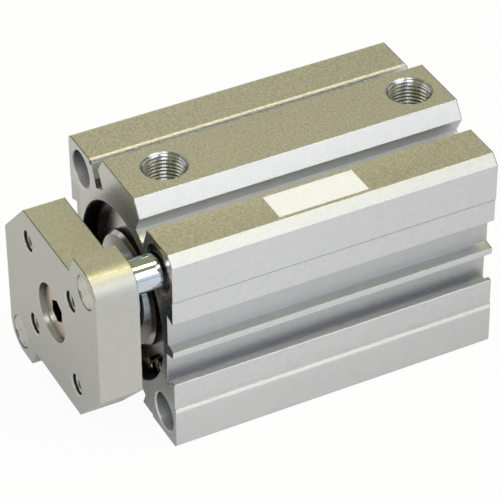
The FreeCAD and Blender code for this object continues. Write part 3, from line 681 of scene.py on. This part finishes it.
def threadPoints(centre, axis, wallRadius, length, settings):
    # V-shaped ridge that winds down a round wall, from the mouth inwards
    pitch, height, steps = settings["pitch"], settings["height"], settings["steps"]
    lap, root, crest = threadShape["lap"], threadShape["root"], threadShape["crest"]
    runOut, thinned = threadShape["runOut"], threadShape["thinned"]
    turns = (length - settings["top"] - settings["bottom"]) / pitch
    count = int(turns * steps)
    profile = [(lap, root), (-height, crest), (-height, -crest), (lap, -root)]
    points, faces = [], []
    for i in range(count + 1):
        fade = min(1, i / steps / runOut, (count - i) / steps / runOut)
        for radial, along in profile:
            radius = wallRadius + (radial * fade if radial < 0 else radial)
            width = along * (thinned + (1 - thinned) * fade)
            depth = settings["top"] + (i / steps + 0.5 + width) * pitch
            points.append(ringAlong(centre, axis, radius, depth, 2 * math.pi * i / steps))
    corners = len(profile)
    for i in range(count):
        for j in range(corners):
            k = (j + 1) % corners
            faces.append((i * corners + j, i * corners + k, (i + 1) * corners + k,
                          (i + 1) * corners + j))
    faces.append((0, 3, 2, 1))
    last = count * corners
    faces.append((last, last + 1, last + 2, last + 3))
    return points, faces


def addTurnedRing(points, faces, centre, axis, profile, steps):
    # closed ring, turned from (radius, depth) corners
    start, corners = len(points), len(profile)
    for i in range(steps):
        for radius, depth in profile:
            points.append(ringAlong(centre, axis, radius, depth, 2 * math.pi * i / steps))
    for i in range(steps):
        for j in range(corners):
            here, there = start + i * corners, start + (i + 1) % steps * corners
            k = (j + 1) % corners
            faces.append((here + j, there + j, there + k, here + k))


def makePortThread(end, settings, material):
    mount = mounts[end + "_port"]
    wall, length = mount["dims"]["r_mm"], mount["dims"]["length_mm"]
    mouth = Vector((*mount["pos_m"][:2], bodyTop))
    points, faces = threadPoints(mouth, "Z", wall, length, settings)
    lap, lead = threadShape["lap"], settings["leadIn"]
    addTurnedRing(points, faces, mouth, "Z", [
        (wall + settings["mouthFlare"], settings["mouthDepth"]),
        (wall + lap, settings["coneDepth"]), (wall + lap, lead + settings["collar"]),
        (wall - settings["height"] * settings["leadCrest"], lead)], settings["steps"])
    newPiece("port_thread_" + end, points, faces, material, "barrel")


# Freshly cut aluminium: silver, with a streak of light down the threads
portMetal = turnedMetal("cutPort", light="#D3D7DF", dark="#979BA3", roughness=(0.14, 0.24),
                        groove=0.15, axis="Z", streakTurn=0.25)
for end in ("front", "rear"):
    makePortThread(end, portThread, portMetal)

# Tapped aluminium under a film of cutting oil: darker in the grooves
tapped = turnedMetal("tappedHole", light="#C8CCD2", dark="#85898F", roughness=(0.18, 0.30),
                     groove=0.15, streak=0.2)
for i, (x, z, radius) in enumerate(loadHoles):
    mouth = Vector((x, plateLow.y, z))
    points, faces = threadPoints(mouth, "Y", radius / mm, (plateHigh.y - plateLow.y) / mm,
                                 loadThread)
    newPiece("load_thread_" + str(i + 1), points, faces, tapped, "rod")
print("threads cut in ports and load holes")

rodEnd = {
    "clearance": 0.04,          # of the plate's front face and of its hole
    "edge": 0.32,
    "land": (1.6, 2.2, 2.6, 2.9, 3.2, 3.5),     # rings that the stakes can press in
    "stakes": (0.9, 2.4, 3.9, 5.5),     # where a punch has pushed the edge over, in radians
    "stakeCircle": 3.35,
    "stakeSize": 0.95,
    "stakeDepth": 0.75,
    "dimple": 0.8,              # of the lathe centre, radius
    "dimpleDepth": 0.45,
    "dimplePoint": 0.2,         # its flat tip, as a share of the radius
    "steps": 96,
}


def makeRodEnd(name, guide, settings, material):
    # ground end of a guide rod, staked in the plate; the rings run from the middle outwards
    low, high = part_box(guide)
    centre = Vector(((low.x + high.x) / 2, plateLow.y, (low.z + high.z) / 2))
    outer = (high.x - low.x) / 2 / mm - settings["clearance"]
    back = (low.y - plateLow.y) / mm
    front = settings["clearance"]
    rings = [(settings["dimple"] * settings["dimplePoint"], front + settings["dimpleDepth"]),
             (settings["dimple"], front), *((radius, front) for radius in settings["land"]),
             (outer - settings["edge"], front), (outer, front + settings["edge"]),
             (outer, back)]
    steps, circle, size = settings["steps"], settings["stakeCircle"], settings["stakeSize"]
    points, faces = [], []
    for radius, depth in rings:
        for i in range(steps):
            angle = 2 * math.pi * i / steps
            pressed = 0
            for stake in settings["stakes"]:
                apart = math.hypot(radius * math.cos(angle) - circle * math.cos(stake),
                                   radius * math.sin(angle) - circle * math.sin(stake))
                if depth == front and apart < size:
                    pressed = settings["stakeDepth"] * (1 - apart / size)
            points.append(ringAlong(centre, "Y", radius, depth + pressed, angle))
    for r in range(len(rings) - 1):
        for i in range(steps):
            j = (i + 1) % steps
            faces.append((r * steps + i, r * steps + j, (r + 1) * steps + j,
                          (r + 1) * steps + i))
    faces.append(tuple(range(steps - 1, -1, -1)))
    last = (len(rings) - 1) * steps
    faces.append(tuple(range(last, last + steps)))
    newPiece(name, points, faces, material, "rod")


# Ground steel: grey with a low shine, brighter where the punch has pressed it
groundSteel = turnedMetal("groundSteel", light="#C6C7BF", dark="#AEAFA6",
                          roughness=(0.16, 0.26), groove=0.25, streak=0.2)
for place in ("upper", "lower"):
    makeRodEnd("guide_rod_end_" + place, "guide_rod_" + place, rodEnd, groundSteel)
print("guide rod ends staked")

studio = {
    "floorSize": 3.0,
    "floorColour": "#F4F4F2",
    "floorGlow": 0.94,          # share of the floor that the camera sees as plain white
    "mirroredGlow": 0.2,        # and that polished metal sees, where the shadow stays
    "white": "#FFFFFF",
    "ceiling": "#AFAA80",       # only polished metal sees it
    "ceilingFrom": (0.12, 0.5), # height over which the white walls turn into it
    "ambient": 0.50,
    "skirting": (-0.03, 0.035), # the backdrop's foot, a thin line in polished metal
    "skirtingColour": "#5986AD",
    "target": (0, 0.03, 0),
    "lamps": {
        # name: direction, distance, size, radiance, colour; the key lights the slopes on the
        # right, the overhead lamp draws warm lines on the top edges, the front one glints in
        # the holes, and the rim lamp lifts the back
        "key": ((0.74, 0.36, 0.57), 1.5, 0.9, 1.86, "#F2F7FF"),
        "overhead": ((0.11, 0.36, 0.93), 1.5, 0.36, 11.5, "#FFF1BE"),
        "front": ((0.54, -0.27, 0.79), 1.5, 0.5, 6.5, "#FFFFFF"),
        "rim": ((-0.55, -0.75, 0.75), 1.6, 0.8, 0.8, "#FFF6E6"),
    },
}


def makeFloor(settings):
    half = settings["floorSize"] / 2
    mesh = bpy.data.meshes.new("floor")
    mesh.from_pydata([(-half, -half, cadLow.z), (half, -half, cadLow.z),
                      (half, half, cadLow.z), (-half, half, cadLow.z)], [], [(0, 1, 2, 3)])
    floor = bpy.data.objects.new("floor", mesh)
    bpy.context.scene.collection.objects.link(floor)
    # Matt painted board: white to the eye, yet it keeps the shadow
    material = bpy.data.materials.new("paleFloor")
    tree = clearTree(material)
    path = addNode(tree, "LightPath", output=None).outputs
    matt = addNode(tree, "BsdfDiffuse", (toLinear(settings["floorColour"]),))
    white = addNode(tree, "Emission", (toLinear(settings["white"]), 1.0))
    shiny = addNode(tree, "Math", (path["Is Glossy Ray"], path["Is Transmission Ray"]),
                    operation="MAXIMUM")
    mirrored = overlap(tree, settings["mirroredGlow"], shiny)
    share = addNode(tree, "Math", (path["Is Camera Ray"], settings["floorGlow"], mirrored),
                    operation="MULTIPLY_ADD")
    both = addNode(tree, "MixShader", (share, matt, white))
    addNode(tree, "OutputMaterial", (both,), output=None)
    mesh.materials.append(material)


def makeWorld(settings):
    world = bpy.data.worlds.new("studio")
    bpy.context.scene.world = world
    tree = clearTree(world)
    path = addNode(tree, "LightPath", output=None).outputs
    direction = addNode(tree, "TexCoord", output="Generated")
    height = addNode(tree, "SeparateXYZ", (direction,), output="Z")
    upwards = addNode(tree, "MapRange", (height, *settings["ceilingFrom"], 0, 1))
    mirrored = paintOver(tree, settings["white"], (upwards, settings["ceiling"]),
                         (band(tree, height, *settings["skirting"]), settings["skirtingColour"]))
    shiny = addNode(tree, "Math", (path["Is Glossy Ray"], path["Is Transmission Ray"]),
                    operation="MAXIMUM")
    grey = settings["ambient"]
    seen = paintOver(tree, (grey, grey, grey, 1), (shiny, mirrored),
                     (path["Is Camera Ray"], settings["white"]))
    glow = addNode(tree, "Background", (seen, 1.0))
    addNode(tree, "OutputWorld", (glow,), output=None)


def makeLamps(settings):
    target = Vector(settings["target"])
    for name, (direction, distance, size, radiance, colour) in settings["lamps"].items():
        data = bpy.data.lights.new(name, "AREA")
        data.shape = "SQUARE"
        data.size = size
        data.energy = radiance * math.pi * size * size
        data.color = toLinear(colour)[:3]
        lamp = bpy.data.objects.new(name, data)
        lamp.location = target + Vector(direction).normalized() * distance
        lamp.rotation_euler = (lamp.location - target).to_track_quat("Z", "Y").to_euler()
        lamp.visible_camera = False
        bpy.context.scene.collection.objects.link(lamp)


makeFloor(studio)
makeWorld(studio)
makeLamps(studio)
bpy.context.scene.view_settings.view_transform = "Standard"
print("studio ready")
